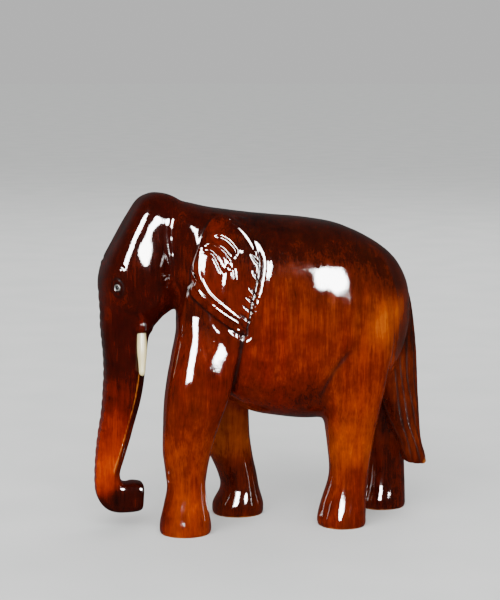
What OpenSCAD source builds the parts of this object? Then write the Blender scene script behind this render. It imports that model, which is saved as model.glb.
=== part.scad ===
// Walking elephant carved from one block of hardwood, with inlaid eyes and
// glued-in tusks. It faces -X, its left side faces -Y, and it stands on Z = 0.

/* [Overall] */
// Length from the front of the trunk to the back of the tail
figure_length = 205; // [160:1:260]
// Height from the soles to the crown
figure_height = 200; // [160:1:260]

/* [Body] */
// Width of the body across the flanks
body_width = 86; // [70:1:110]

/* [Head] */
// Width of the head across the cheeks
head_width = 50; // [40:1:64]
// Width of the trunk just below the mouth
trunk_root_width = 29; // [22:0.5:36]
// Width of the trunk at its tip
trunk_tip_width = 16; // [12:0.5:20]

/* [Ears] */
// Height of an ear
ear_height = 64; // [50:1:78]
// Width of an ear
ear_width = 36; // [28:1:44]
// How far an ear stands proud of the neck
ear_relief = 2.6; // [1.5:0.1:4]

/* [Legs] */
// Length of a sole, front to back
foot_length = 31; // [25:0.5:38]
// Width of a sole, side to side
foot_width = 31; // [25:0.5:38]
// Distance between the centre lines of the left and right feet
stance = 41; // [36:0.5:54]
// How far the right feet stand behind the left ones
stride = 39; // [0:1:48]

/* [Tail] */
// Width of the tail's brush at its lower end
tail_width = 20; // [12:0.5:26]

/* [Tusks] */
// Length of a tusk outside the wood
tusk_length = 25; // [15:0.5:34]
// Diameter of a tusk where it leaves the mouth
tusk_root_d = 5.4; // [4.6:0.1:7]
// Diameter of a tusk at its blunt tip
tusk_tip_d = 3.6; // [2:0.1:4.5]
// Diameter of the round tenon glued into the head
tenon_d = 3.6; // [2.5:0.1:4.4]
// Length of the tenon
tenon_length = 9; // [5:0.5:12]

/* [Eyes] */
// Outside diameter of an eye's ring
eye_ring_d = 4; // [3:0.1:6]
// Thickness of an eye's ring
eye_ring_t = 1.6; // [1:0.1:2.5]
// Diameter of a pupil's peg
pupil_d = 1.8; // [1:0.1:2.4]
// Length of a pupil's peg
pupil_length = 4; // [3:0.1:6]

/* [Fits] */
// Gap all round an inlay in its drilled hole, filled by glue
glue_gap = 0.05; // [0.02:0.01:0.15]

/* [Smoothness] */
// Sides of a cross-section
ring_sides = 24; // [20:2:28]
// Cross-sections per row of a pattern
row_steps = 2; // [1:1:3]

/* [Hidden] */
wood = [0.36, 0.10, 0.03];
ivory = [0.93, 0.88, 0.68];
$fn = 48;

// The pattern is drawn on a grid of this length and height, and stretched to fit.
grid_length = 202;
grid_height = 197.5;
nominal_stride = 39;

// ---- Curves ----------------------------------------------------------------

// A cosine or sine bent towards a rounded square; 2 leaves a true ellipse.
function bend(v, square) = sign(v) * pow(abs(v), 2 / square);

// A row is [x, y, z of one edge, x, y, z of the other, half width, squareness].
function ring(row) =
    let (a = [row[0], row[1], row[2]], b = [row[3], row[4], row[5]])
    [for (i = [0 : ring_sides - 1])
        let (t = 360 * i / ring_sides)
        (a + b) / 2 + (a - b) / 2 * bend(cos(t), row[7])
            + [0, row[6] * bend(sin(t), row[7]), 0]];

// Smooth curve through the rows, u running from 0 to the last row's number.
function row_at(rows, u) =
    let (last = len(rows) - 1,
         i = min(floor(u), last - 1),
         t = u - i,
         p0 = rows[max(i - 1, 0)],
         p1 = rows[i],
         p2 = rows[i + 1],
         p3 = rows[min(i + 2, last)])
    0.5 * (2 * p1 + (p2 - p0) * t + (2 * p0 - 5 * p1 + 4 * p2 - p3) * pow(t, 2)
        + (3 * p1 - p0 - 3 * p2 + p3) * pow(t, 3));

function rings(rows) =
    [for (k = [0 : (len(rows) - 1) * row_steps]) ring(row_at(rows, k / row_steps))];

// Stretch from the pattern's grid to the figure.
function gx(x) = x * figure_length / grid_length;
function gz(z) = z * figure_height / grid_height;

// ---- Pattern ---------------------------------------------------------------

// Barrel: x, top z, bottom z, share of the body's width.
barrel = [
    [-60, 181, 154, 0.22], [-53, 188.5, 139, 0.48], [-45, 191, 122, 0.66],
    [-36, 189.3, 98, 0.78], [-25, 187, 80, 0.88], [-10, 185, 69, 0.95],
    [8, 183, 64.5, 0.99], [26, 181, 62.5, 1], [43, 178, 63.5, 0.98],
    [57, 173, 68, 0.92], [69, 166.5, 77, 0.81], [79, 158, 90, 0.64],
    [86, 147, 106, 0.42], [89, 137, 118, 0.2]];
barrel_rows = [for (r = barrel)
    [gx(r[0]), 0, gz(r[1]), gx(r[0]), 0, gz(r[2]), r[3] * body_width / 2, 2.9]];

// Head and trunk: front x, z, back x, z, half width.
function trunk_half(f) = (trunk_root_width + (trunk_tip_width - trunk_root_width) * f) / 2;
head = [
    [-64, 197, -54, 196, head_width * 0.12], [-71.5, 193, -44, 191, head_width * 0.35],
    [-78, 183, -37, 178, head_width * 0.45], [-85.5, 169.5, -35, 163, head_width * 0.49],
    [-92, 158, -37, 150, head_width * 0.50], [-95.5, 147, -43, 139, head_width * 0.48],
    [-95.6, 137, -51, 130.5, head_width * 0.44], [-95, 128, -59, 124.5, head_width * 0.37],
    [-94.2, 117, -66.5, 116.5, trunk_half(0)], [-93, 103, -68.6, 104, trunk_half(0.22)],
    [-92.8, 88, -70, 89, trunk_half(0.4)], [-94, 73, -73, 73, trunk_half(0.56)],
    [-96.5, 57, -77.5, 57, trunk_half(0.7)], [-98.4, 42, -81.6, 43, trunk_half(0.84)],
    [-99, 30, -84.4, 33.5, trunk_half(0.94)], [-98, 20, -84, 28.4, trunk_half(1)],
    [-94, 13, -82, 26.6, trunk_half(1)], [-87.5, 9.6, -80, 26, trunk_half(1)],
    [-80, 9, -77, 25.8, trunk_half(1)], [-73.6, 10, -73, 25.4, trunk_half(1) * 0.96],
    [-71.5, 12, -71.2, 23.4, trunk_half(1) * 0.8]];
head_rows = [for (r = head) [gx(r[0]), 0, gz(r[1]), gx(r[2]), 0, gz(r[3]), r[4], 2.5]];

// Legs: z, middle x, share of the foot's length, share of its width, how far
// out the leg stands under the flank as a share of the body's half width, and
// how far it has come in from there to the foot's own line.
front_left = [
    [156, -33, 0.50, 0.60, 0.66, 0], [143, -34.5, 0.92, 0.86, 0.82, 0],
    [130, -34.8, 1.14, 1.02, 0.91, 0], [117, -35, 1.18, 1.08, 0.95, 0],
    [103, -38, 1.20, 1.10, 0.96, 0.1], [90, -40.6, 1.22, 1.08, 0.95, 0.3],
    [76, -43.4, 1.15, 1.02, 0.93, 0.5], [62, -45.8, 1.04, 0.96, 0.92, 0.7],
    [48, -47.6, 0.92, 0.90, 0.9, 0.9], [34, -48.2, 0.78, 0.84, 0.9, 1],
    [26, -48.2, 0.73, 0.83, 0.9, 1], [17, -48.5, 0.83, 0.90, 0.9, 1],
    [7, -48.7, 0.98, 1, 0.9, 1], [2, -48.7, 0.99, 1, 0.9, 1], [0, -48.7, 0.94, 0.95, 0.9, 1]];
front_right = [
    [156, -28, 0.50, 0.60, 0.66, 0], [143, -27, 0.92, 0.86, 0.82, 0],
    [130, -26, 1.14, 1.02, 0.91, 0], [117, -25, 1.18, 1.08, 0.95, 0],
    [103, -24, 1.22, 1.10, 0.96, 0.1], [90, -22.5, 1.22, 1.08, 0.95, 0.3],
    [76, -21, 1.16, 1.02, 0.93, 0.5], [62, -19, 1.06, 0.96, 0.92, 0.7],
    [48, -17, 0.97, 0.90, 0.9, 0.9], [34, -12.8, 0.83, 0.84, 0.9, 1],
    [24, -9.6, 0.76, 0.82, 0.9, 1], [16, -8.2, 0.76, 0.86, 0.9, 1],
    [7, -9.2, 0.98, 1, 0.9, 1], [2, -9.4, 1, 1, 0.9, 1], [0, -9.4, 0.95, 0.95, 0.9, 1]];
rear_left = [
    [158, 56, 0.60, 0.60, 0.60, 0], [146, 56.5, 1.05, 0.90, 0.76, 0],
    [133, 55.5, 1.32, 1.08, 0.87, 0], [118, 54, 1.40, 1.16, 0.94, 0],
    [103, 52, 1.37, 1.16, 0.96, 0.05], [88, 50.5, 1.28, 1.10, 0.96, 0.25],
    [74, 49.8, 1.14, 1.02, 0.95, 0.5], [60, 49.8, 0.98, 0.94, 0.93, 0.75],
    [46, 49.8, 0.85, 0.86, 0.9, 0.95], [34, 49.8, 0.78, 0.82, 0.9, 1],
    [26, 49, 0.79, 0.83, 0.9, 1], [15, 46.6, 0.86, 0.90, 0.9, 1],
    [6, 45.2, 0.92, 1, 0.9, 1], [2, 45.2, 0.93, 1, 0.9, 1], [0, 45.2, 0.88, 0.95, 0.9, 1]];
rear_right = [
    [158, 56, 0.60, 0.60, 0.60, 0], [146, 56.5, 1.05, 0.90, 0.76, 0],
    [133, 57, 1.30, 1.08, 0.87, 0], [118, 59, 1.36, 1.16, 0.94, 0],
    [103, 62.5, 1.32, 1.16, 0.96, 0.05], [88, 67, 1.22, 1.10, 0.96, 0.25],
    [74, 72, 1.08, 1.02, 0.95, 0.5], [60, 77, 0.98, 0.94, 0.93, 0.75],
    [46, 80, 0.88, 0.86, 0.9, 0.95], [34, 82, 0.82, 0.82, 0.9, 1],
    [26, 82.8, 0.80, 0.83, 0.9, 1], [15, 82.3, 0.86, 0.90, 0.9, 1],
    [6, 81, 0.95, 1, 0.9, 1], [2, 81, 0.96, 1, 0.9, 1], [0, 81, 0.91, 0.95, 0.9, 1]];

// The right legs swing back with the stride, more towards the foot.
hip_z = 150;
function leg_rows(leg, side) = [for (r = leg)
    let (half_width = r[3] * foot_width / 2,
         hip_y = r[4] * body_width / 2 - half_width,
         y = hip_y + (stance / 2 - hip_y) * r[5],
         lag = max(0, 1 - r[0] / hip_z),
         x = gx(r[1]) + (side > 0 ? (stride - nominal_stride) * lag : 0),
         half = r[2] * foot_length / 2)
    [x - half, side * y, gz(r[0]), x + half, side * y, gz(r[0]), half_width, 2.8]];

// Tail: inner x, z, outer x, z, share of the brush's width.
tail = [
    [70, 156, 78.5, 162, 0.40], [76, 147, 85.5, 151.5, 0.50], [79, 135, 90.5, 137, 0.60],
    [80, 119, 93.8, 120.5, 0.66], [79, 100, 95.8, 100, 0.70], [79, 78, 97, 78, 0.76],
    [82, 58, 98.2, 58, 0.86], [85, 45, 99.4, 45, 0.96], [87.4, 37, 101.6, 36.5, 1],
    [89.4, 32, 102.4, 31, 0.96]];
tail_rows = [for (r = tail)
    [gx(r[0]), 0, gz(r[1]), gx(r[2]), 0, gz(r[3]), r[4] * tail_width / 2, 2.6]];

// Ears: share of the height up from the lobe, front and back edge as shares of
// the width, and where the neck's surface lies as a share of the body's width.
ear_back = [gx(-9), gz(121)];
ear = [
    [0, 0.56, 0.70, 0.92, 0.94], [0.05, 0.42, 0.78, 0.90, 0.95], [0.14, 0.23, 0.84, 0.86, 0.96],
    [0.26, 0.06, 0.90, 0.82, 0.96], [0.40, 0, 0.96, 0.79, 0.95], [0.55, 0.02, 1, 0.76, 0.93],
    [0.70, 0.08, 0.99, 0.72, 0.88], [0.83, 0.14, 0.91, 0.64, 0.79], [0.93, 0.20, 0.79, 0.54, 0.66],
    [1, 0.32, 0.64, 0.46, 0.54]];
ear_bury = 3;
function ear_rows(side) = [for (r = ear)
    let (z = ear_back[1] + r[0] * ear_height,
         front = ear_back[0] - ear_width * (1 - r[1]),
         back = ear_back[0] - ear_width * (1 - r[2]),
         out = (ear_relief - ear_bury) / 2)
    [front, side * (r[3] * body_width / 2 + out), z,
     back, side * (r[4] * body_width / 2 + out), z, (ear_relief + ear_bury) / 2, 3]];

// ---- Places of the inlays --------------------------------------------------

// The trunk's front and the tail's tip set the length, and the crown the
// height: every point is moved and stretched so that they meet the named sizes.
head_points = [for (r = rings(head_rows)) for (p = r) p];
low_x = min([for (p = head_points) p[0]]);
high_x = max([for (r = rings(tail_rows)) for (p = r) p[0]]);
high_z = max([for (p = head_points) p[2]]);
function place(p) = [
    (p[0] - (low_x + high_x) / 2) * figure_length / (high_x - low_x),
    p[1],
    p[2] * figure_height / high_z];

// A point on the head: u counts rows, t is the angle round the section.
function head_point(u, t) =
    let (row = row_at(head_rows, u),
         a = [row[0], row[1], row[2]],
         b = [row[3], row[4], row[5]])
    place((a + b) / 2 + (a - b) / 2 * bend(cos(t), row[7])
        + [0, row[6] * bend(sin(t), row[7]), 0]);
function unit(v) = v / norm(v);

// Row and turn round the head's section of the eye, and the steps that find
// its outward direction.
eye_row = 5.1;
eye_turn = -50;
turn_step = 4;
row_step = 0.1;
eye_point = head_point(eye_row, eye_turn);
eye_across = head_point(eye_row, eye_turn + turn_step) - eye_point;
eye_down = head_point(eye_row + row_step, eye_turn) - eye_point;
eye_cross = unit(cross(eye_across, eye_down));
eye_out = eye_cross[1] > 0 ? -eye_cross : eye_cross;
// The ring lies this deep under the head's skin, and the pupil stands above it.
eye_sink = 0.5;
pupil_proud = 0.2;

// A tusk leaves a sheath of wood beside the trunk, and leans a little outwards.
tusk_root = place([gx(-72.5), -(trunk_root_width / 2 + 0.5), gz(117)]);
tusk_down = unit([0.01, -0.06, -1]);
sheath_wall = 1.6;
sheath_bevel = 0.8;
sheath_height = 17;
sheath_top_r = 3;

// Holes are drilled from this far outside the wood.
drill_lead = 3;

// ---- Shapes ----------------------------------------------------------------

// Closed skin over a list of rings, with flat ends. The rings are turned to
// run the same way round the path, so that the faces point outwards.
module skin(loops) {
    n = ring_sides;
    last = len(loops) - 1;
    middles = [for (loop = [loops[0], loops[1]]) (loop[0] + loop[n / 2]) / 2];
    facing = cross(loops[0][0] - middles[0], loops[0][round(n / 4)] - middles[0]);
    along = facing * (middles[1] - middles[0]) > 0;
    points = [for (loop = loops) for (i = [0 : n - 1]) place(loop[along ? n - 1 - i : i])];
    sides = [for (k = [0 : last - 1]) for (i = [0 : n - 1])
        let (a = k * n + i, b = k * n + (i + 1) % n)
        each [[a, b, a + n], [b, b + n, a + n]]];
    ends = [[for (i = [0 : n - 1]) n - 1 - i], [for (i = [0 : n - 1]) last * n + i]];
    polyhedron(points, concat(sides, ends), convexity = 6);
}

// Children that stand on Z = 0, moved to a point and turned along a direction.
module turned_along(from, along) {
    translate(from) rotate([0, acos(along[2]), atan2(along[1], along[0])]) children();
}

module peg(from, along, length, d) {
    turned_along(from, along) cylinder(h = length, d = d);
}

module left_and_right() {
    children();
    mirror([0, 1, 0]) children();
}

// Sheath of wood that the tusk's root is seated in.
module sheath() {
    root_r = tusk_root_d / 2 + sheath_wall;
    lip = 2;
    turned_along(tusk_root, -tusk_down) {
        cylinder(h = lip, r1 = root_r - sheath_bevel, r2 = root_r);
        translate([0, 0, lip]) cylinder(h = sheath_height - lip, r1 = root_r, r2 = sheath_top_r);
    }
}

module carving() {
    resize([figure_length, 0, figure_height]) union() {
        skin(rings(barrel_rows));
        skin(rings(head_rows));
        for (side = [-1, 1]) skin(rings(ear_rows(side)));
        skin(rings(leg_rows(front_left, -1)));
        skin(rings(leg_rows(rear_left, -1)));
        skin(rings(leg_rows(front_right, 1)));
        skin(rings(leg_rows(rear_right, 1)));
        skin(rings(tail_rows));
        left_and_right() sheath();
    }
}

// Holes for the left tusk and eye, and the groove that lets the tusk lie close
// against the trunk.
module inlay_holes() {
    peg(tusk_root + tusk_down * drill_lead, -tusk_down,
        drill_lead + tenon_length + glue_gap, tenon_d + 2 * glue_gap);
    peg(tusk_root, tusk_down, tusk_length, tusk_root_d + 2 * glue_gap);
    eye_start = eye_point + eye_out * drill_lead;
    peg(eye_start, -eye_out, drill_lead + eye_sink + eye_ring_t, eye_ring_d + 2 * glue_gap);
    peg(eye_start, -eye_out, drill_lead + eye_sink + pupil_length, pupil_d + 2 * glue_gap);
}

module body() {
    color(wood) difference() {
        carving();
        left_and_right() inlay_holes();
    }
}

// Blunt tusk on a round tenon: it swells a little, then tapers to a round tip.
module tusk() {
    root_r = tusk_root_d / 2;
    tip_r = tusk_tip_d / 2;
    rotate_extrude() polygon(concat(
        [[0, -tenon_length], [tenon_d / 2, -tenon_length], [tenon_d / 2, 0],
         [root_r, 0], [root_r * 0.98, tusk_length * 0.3]],
        [for (t = [0 : 15 : 90]) [tip_r * cos(t), tusk_length - tip_r * (1 - sin(t))]]));
}

module tusk_left() {
    color(ivory) turned_along(tusk_root, tusk_down) tusk();
}

module tusk_right() {
    mirror([0, 1, 0]) tusk_left();
}

module eye_ring_left() {
    back = eye_point - eye_out * (eye_sink + eye_ring_t);
    color("dimgray") difference() {
        peg(back, eye_out, eye_ring_t, eye_ring_d);
        peg(back - eye_out, eye_out, eye_ring_t + 2, pupil_d + 2 * glue_gap);
    }
}

module eye_ring_right() {
    mirror([0, 1, 0]) eye_ring_left();
}

module pupil_left() {
    color("black") peg(eye_point - eye_out * (eye_sink + pupil_length), eye_out,
                       pupil_length + pupil_proud, pupil_d);
}

module pupil_right() {
    mirror([0, 1, 0]) pupil_left();
}

body();
tusk_left();
tusk_right();
eye_ring_left();
eye_ring_right();
pupil_left();
pupil_right();
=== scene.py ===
# Walking elephant carved from one block of rosewood and lacquered, with inlaid tusks and eyes.
# It faces -X and stands on Z = 0. Tables are in millimetres, the scene is in metres.
import bmesh
import bpy
import numpy as np
from math import radians
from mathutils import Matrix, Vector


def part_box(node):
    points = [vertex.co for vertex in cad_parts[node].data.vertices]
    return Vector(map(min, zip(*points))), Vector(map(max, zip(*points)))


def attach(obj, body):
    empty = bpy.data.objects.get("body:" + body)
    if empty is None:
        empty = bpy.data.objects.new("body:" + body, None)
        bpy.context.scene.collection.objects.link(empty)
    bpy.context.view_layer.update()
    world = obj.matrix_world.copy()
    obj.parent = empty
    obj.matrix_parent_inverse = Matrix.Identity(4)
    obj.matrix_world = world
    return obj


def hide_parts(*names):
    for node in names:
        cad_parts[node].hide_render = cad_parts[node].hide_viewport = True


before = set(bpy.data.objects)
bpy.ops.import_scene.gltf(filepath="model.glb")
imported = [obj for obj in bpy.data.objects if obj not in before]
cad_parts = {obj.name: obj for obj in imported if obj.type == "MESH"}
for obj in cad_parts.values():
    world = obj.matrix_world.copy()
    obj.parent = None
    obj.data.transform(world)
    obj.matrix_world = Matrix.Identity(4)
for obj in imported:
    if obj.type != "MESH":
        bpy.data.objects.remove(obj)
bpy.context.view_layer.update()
mm = 0.001


def boxOf(node):
    # lowest and highest corners of a CAD node, in millimetres
    low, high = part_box(node)
    return np.array(low) / mm, np.array(high) / mm


bodyLow, bodyHigh = boxOf("body")
print("frame loaded")


# Camera and light.

cameraStand = dict(place=(-0.24165, -1.10032, 0.28767), turn=-12.0, tilt=-7.75, lens=114.0)
# azimuth, elevation, width and height as degrees seen from the figure, strength in watts
windows = [
    dict(name="windowLeft", azimuth=-22.0, elevation=23.0, wide=20.0, tall=36.0, power=600.0,
         shape="RECTANGLE"),
    dict(name="windowRight", azimuth=22.0, elevation=17.5, wide=15.0, tall=23.0, power=235.0,
         shape="ELLIPSE")]
softLights = [
    dict(name="softFront", azimuth=-25.0, elevation=35.0, wide=60.0, tall=50.0, power=60.0,
         shape="RECTANGLE"),
    dict(name="softBack", azimuth=150.0, elevation=50.0, wide=50.0, tall=50.0, power=20.0,
         shape="RECTANGLE")]
lightRange = 2.0  # metres from the figure
aim = np.array([0.0, 0.0, 0.1])


def addCamera():
    # upright and looking along +Y, then tilted down and turned
    camera = bpy.data.objects.new("camera", bpy.data.cameras.new("camera"))
    camera.data.lens = cameraStand["lens"]
    camera.location = cameraStand["place"]
    camera.rotation_euler = (radians(90 + cameraStand["tilt"]), 0, radians(cameraStand["turn"]))
    bpy.context.scene.collection.objects.link(camera)
    bpy.context.scene.camera = camera


def addLight(spec, forReflections):
    # a flat panel on a sphere round the figure, turned to face it
    data = bpy.data.lights.new(spec["name"], "AREA")
    data.shape = spec["shape"]
    data.size = 2 * lightRange * np.tan(radians(spec["wide"] / 2))
    data.size_y = 2 * lightRange * np.tan(radians(spec["tall"] / 2))
    data.energy = spec["power"]
    lamp = bpy.data.objects.new(spec["name"], data)
    azimuth, elevation = radians(spec["azimuth"]), radians(spec["elevation"])
    outward = np.array([np.sin(azimuth) * np.cos(elevation), -np.cos(azimuth) * np.cos(elevation),
                        np.sin(elevation)])
    lamp.location = aim + lightRange * outward
    lamp.rotation_euler = (radians(90) - elevation, 0, azimuth)
    lamp.visible_diffuse = not forReflections
    lamp.visible_glossy = forReflections
    bpy.context.scene.collection.objects.link(lamp)


addCamera()
for spec in windows:
    addLight(spec, True)
for spec in softLights:
    addLight(spec, False)


# Node helpers and shared groups.

def srgb(code):
    # a six-digit colour code as linear red, green, blue and alpha
    v = np.array([int(code[i:i + 2], 16) for i in (0, 2, 4)]) / 255
    linear = np.where(v <= 0.04045, v / 12.92, ((v + 0.055) / 1.055) ** 2.4)
    return (*linear.tolist(), 1.0)


def addNode(tree, kind, sockets=None, **settings):
    # a node with its settings, and its inputs filled with values or linked from outputs
    made = tree.nodes.new(kind)
    for key, value in settings.items():
        setattr(made, key, value)
    for key, value in (sockets or {}).items():
        if isinstance(value, bpy.types.NodeSocket):
            tree.links.new(value, made.inputs[key])
        else:
            made.inputs[key].default_value = value
    return made


def maths(tree, operation, a, b=0.0, clamp=False):
    # one arithmetic node: a and b joined by the operation
    return addNode(tree, "ShaderNodeMath", {0: a, 1: b}, operation=operation, use_clamp=clamp).outputs[0]


def blendColours(tree, factor, a, b, mode="MIX"):
    # the Mix node's colour sockets: factor 0, first 6, second 7, result 2
    mix = addNode(tree, "ShaderNodeMix", {0: factor, 6: a, 7: b}, data_type="RGBA", blend_type=mode)
    return mix.outputs[2]


def ramp(tree, factor, stops):
    # colour along a ramp, straight between stops of [position, colour code]
    made = addNode(tree, "ShaderNodeValToRGB", {"Fac": factor})
    bar = made.color_ramp.elements
    bar[0].position, bar[0].color = stops[0][0], srgb(stops[0][1])
    bar[1].position, bar[1].color = stops[-1][0], srgb(stops[-1][1])
    for position, code in stops[1:-1]:
        bar.new(position).color = srgb(code)
    return made.outputs["Color"]


def newGroup(name, inputs, outputs):
    # an empty node group with named inputs, their first values, and named outputs
    group = bpy.data.node_groups.new(name, "ShaderNodeTree")
    for label, kind, value in inputs:
        socket = group.interface.new_socket(label, in_out="INPUT", socket_type=kind)
        if value is not None:
            socket.default_value = value
    for label, kind in outputs:
        group.interface.new_socket(label, in_out="OUTPUT", socket_type=kind)
    start = group.nodes.new("NodeGroupInput")
    end = group.nodes.new("NodeGroupOutput")
    return group, start.outputs, end.inputs


def buildGrainGroup():
    # noise drawn out along Z: fine hairs, broader bands, and a slow drift between them
    group, given, out = newGroup(
        "grainStreaks",
        [("Position", "NodeSocketVector", None), ("Hair Width", "NodeSocketFloat", 0.5),
         ("Hair Length", "NodeSocketFloat", 12.0)],
        [("Hairs", "NodeSocketFloat"), ("Bands", "NodeSocketFloat"), ("Drift", "NodeSocketFloat")])
    across = maths(group, "DIVIDE", 1 / mm, given["Hair Width"])
    along = maths(group, "DIVIDE", 1 / mm, given["Hair Length"])
    scale = addNode(group, "ShaderNodeCombineXYZ", {"X": across, "Y": across, "Z": along})
    stretched = addNode(group, "ShaderNodeVectorMath",
                        {0: given["Position"], 1: scale.outputs[0]}, operation="MULTIPLY").outputs[0]
    hairs = addNode(group, "ShaderNodeTexNoise",
                    {"Vector": stretched, "Scale": 1.0, "Detail": 3.0, "Roughness": 0.65, "Distortion": 0.4})
    bands = addNode(group, "ShaderNodeTexNoise",
                    {"Vector": stretched, "Scale": 0.22, "Detail": 3.0, "Roughness": 0.6, "Distortion": 0.8})
    drift = addNode(group, "ShaderNodeTexNoise",
                    {"Vector": stretched, "Scale": 0.06, "Detail": 2.0, "Roughness": 0.5, "Distortion": 0.3})
    for name, made in (("Hairs", hairs), ("Bands", bands), ("Drift", drift)):
        group.links.new(made.outputs["Fac"], out[name])
    return group


def buildUnevenGroup():
    # height of a hand-laid finish: slow swells, brush ripples and a few dust nibs
    group, given, out = newGroup(
        "handFinish",
        [("Position", "NodeSocketVector", None), ("Swell Size", "NodeSocketFloat", 4.0),
         ("Ripple Size", "NodeSocketFloat", 1.2), ("Nib Spacing", "NodeSocketFloat", 5.0),
         ("Nib Amount", "NodeSocketFloat", 1.0)],
        [("Swell", "NodeSocketFloat"), ("Ripple", "NodeSocketFloat"), ("Nibs", "NodeSocketFloat")])
    swellScale = maths(group, "DIVIDE", 1 / mm, given["Swell Size"])
    rippleScale = maths(group, "DIVIDE", 1 / mm, given["Ripple Size"])
    nibScale = maths(group, "DIVIDE", 1 / mm, given["Nib Spacing"])
    swell = addNode(group, "ShaderNodeTexNoise",
                    {"Vector": given["Position"], "Scale": swellScale, "Detail": 1.0, "Roughness": 0.4})
    ripple = addNode(group, "ShaderNodeTexNoise",
                     {"Vector": given["Position"], "Scale": rippleScale, "Detail": 2.0, "Roughness": 0.5})
    cells = addNode(group, "ShaderNodeTexVoronoi", {"Vector": given["Position"], "Scale": nibScale})
    dome = addNode(group, "ShaderNodeMapRange",
                   {"Value": cells.outputs["Distance"], "From Min": 0.055, "From Max": 0.01,
                    "To Min": 0.0, "To Max": 1.0}, interpolation_type="SMOOTHSTEP").outputs[0]
    pick = addNode(group, "ShaderNodeSeparateColor", {"Color": cells.outputs["Color"]}).outputs[0]
    kept = maths(group, "GREATER_THAN", pick, 0.55)
    nibs = maths(group, "MULTIPLY", maths(group, "MULTIPLY", dome, kept), given["Nib Amount"])
    for name, made in (("Swell", swell.outputs["Fac"]), ("Ripple", ripple.outputs["Fac"]), ("Nibs", nibs)):
        group.links.new(made, out[name])
    return group


grainGroup = buildGrainGroup()
unevenGroup = buildUnevenGroup()


def useGroup(tree, group, sockets):
    # a shared group placed in a material with its own values
    return addNode(tree, "ShaderNodeGroup", sockets, node_tree=group).outputs


def newMaterial(name, constants):
    # a Principled material whose even values sit on the shader's own sockets
    material = bpy.data.materials.new(name)
    material.use_nodes = True
    tree = material.node_tree
    tree.nodes.clear()
    shader = addNode(tree, "ShaderNodeBsdfPrincipled", constants)
    end = tree.nodes.new("ShaderNodeOutputMaterial")
    tree.links.new(shader.outputs[0], end.inputs["Surface"])
    place = tree.nodes.new("ShaderNodeTexCoord").outputs["Object"]
    return material, tree, shader, place


def attribute(tree, name):
    # the number that a mesh keeps at each vertex under this name
    return addNode(tree, "ShaderNodeAttribute", attribute_name=name).outputs["Fac"]


def addBump(tree, shader, layers):
    # stacked bumps: each layer is a height and how tall it is in metres
    normal = None
    for height, tall in layers:
        sockets = {"Height": height, "Distance": tall, "Strength": 1.0}
        if normal is not None:
            sockets["Normal"] = normal
        normal = addNode(tree, "ShaderNodeBump", sockets).outputs["Normal"]
    tree.links.new(normal, shader.inputs["Normal"])


# The elephant's pattern.

# The grid's length and height are stretched to the frame's.
body = dict(gridLength=202.0, gridHeight=197.5, length=bodyHigh[0] - bodyLow[0],
            height=bodyHigh[2] - bodyLow[2], width=bodyHigh[1] - bodyLow[1],
            headWidth=50.0, trunkRoot=29.0, trunkTip=16.0, footLength=31.0, footWidth=31.0,
            stance=41.0, tailWidth=20.0, barrelSquare=2.75, headSquare=2.2, trunkSquare=4.0,
            legSquare=(2.1, 3.2), legSquareFrom=35, legSquareTo=80, underFloor=-3, tailSquare=2.6,
            sides=96, steps=8, voxel=0.8, triangles=188000)

# x, top z, bottom z, share of the body's width
barrel = [
    [-60, 181, 154, 0.22], [-53, 188.5, 139, 0.48], [-45, 191, 122, 0.66],
    [-36, 189.3, 98, 0.79], [-25, 187, 80, 0.89], [-10, 185, 69, 0.94],
    [8, 183, 64.5, 0.975], [26, 181, 62.5, 0.998], [43, 178, 63.5, 0.985],
    [57, 173, 68, 0.92], [69, 166.5, 77, 0.81], [79, 158, 90, 0.64],
    [86, 147, 106, 0.42], [89, 137, 118, 0.2]]

# front x, z, back x, z, the width as a share of the head's, and the lean to the front
headRows = [
    [-64, 197, -54, 196, 0.3, 0.25], [-71.5, 193, -47, 191, 0.6, 0.42], [-78, 183, -43, 178, 0.76, 0.48],
    [-85.5, 169.5, -41, 163, 0.9, 0.48], [-92, 158, -41, 150, 0.98, 0.42], [-95.5, 147, -44, 139, 0.97, 0.32],
    [-95.6, 137, -51, 130.5, 0.9, 0.14], [-95, 128, -59, 124.5, 0.76, 0.04]]
# the same, with the place in the trunk's taper from root to tip, and a share of that width
trunkRows = [
    [-94.2, 117, -66.5, 116.5, 0, 1], [-93, 103, -68.6, 104, 0.22, 1], [-92.8, 88, -70, 89, 0.4, 1],
    [-94, 73, -73, 73, 0.56, 1], [-96.5, 57, -77.5, 57, 0.7, 1], [-98.4, 42, -81.6, 43, 0.84, 1],
    [-99, 30, -84.4, 33.5, 0.94, 1], [-98, 20, -84, 28.4, 1, 1], [-94, 13, -82, 26.6, 1, 1],
    [-87.5, 9.6, -80, 26.6, 1, 1], [-80, 9, -77, 27.2, 1, 1], [-73.6, 9.6, -72.6, 26.6, 1, 1],
    [-71.2, 11, -70.6, 25.6, 1, 0.94]]

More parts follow.
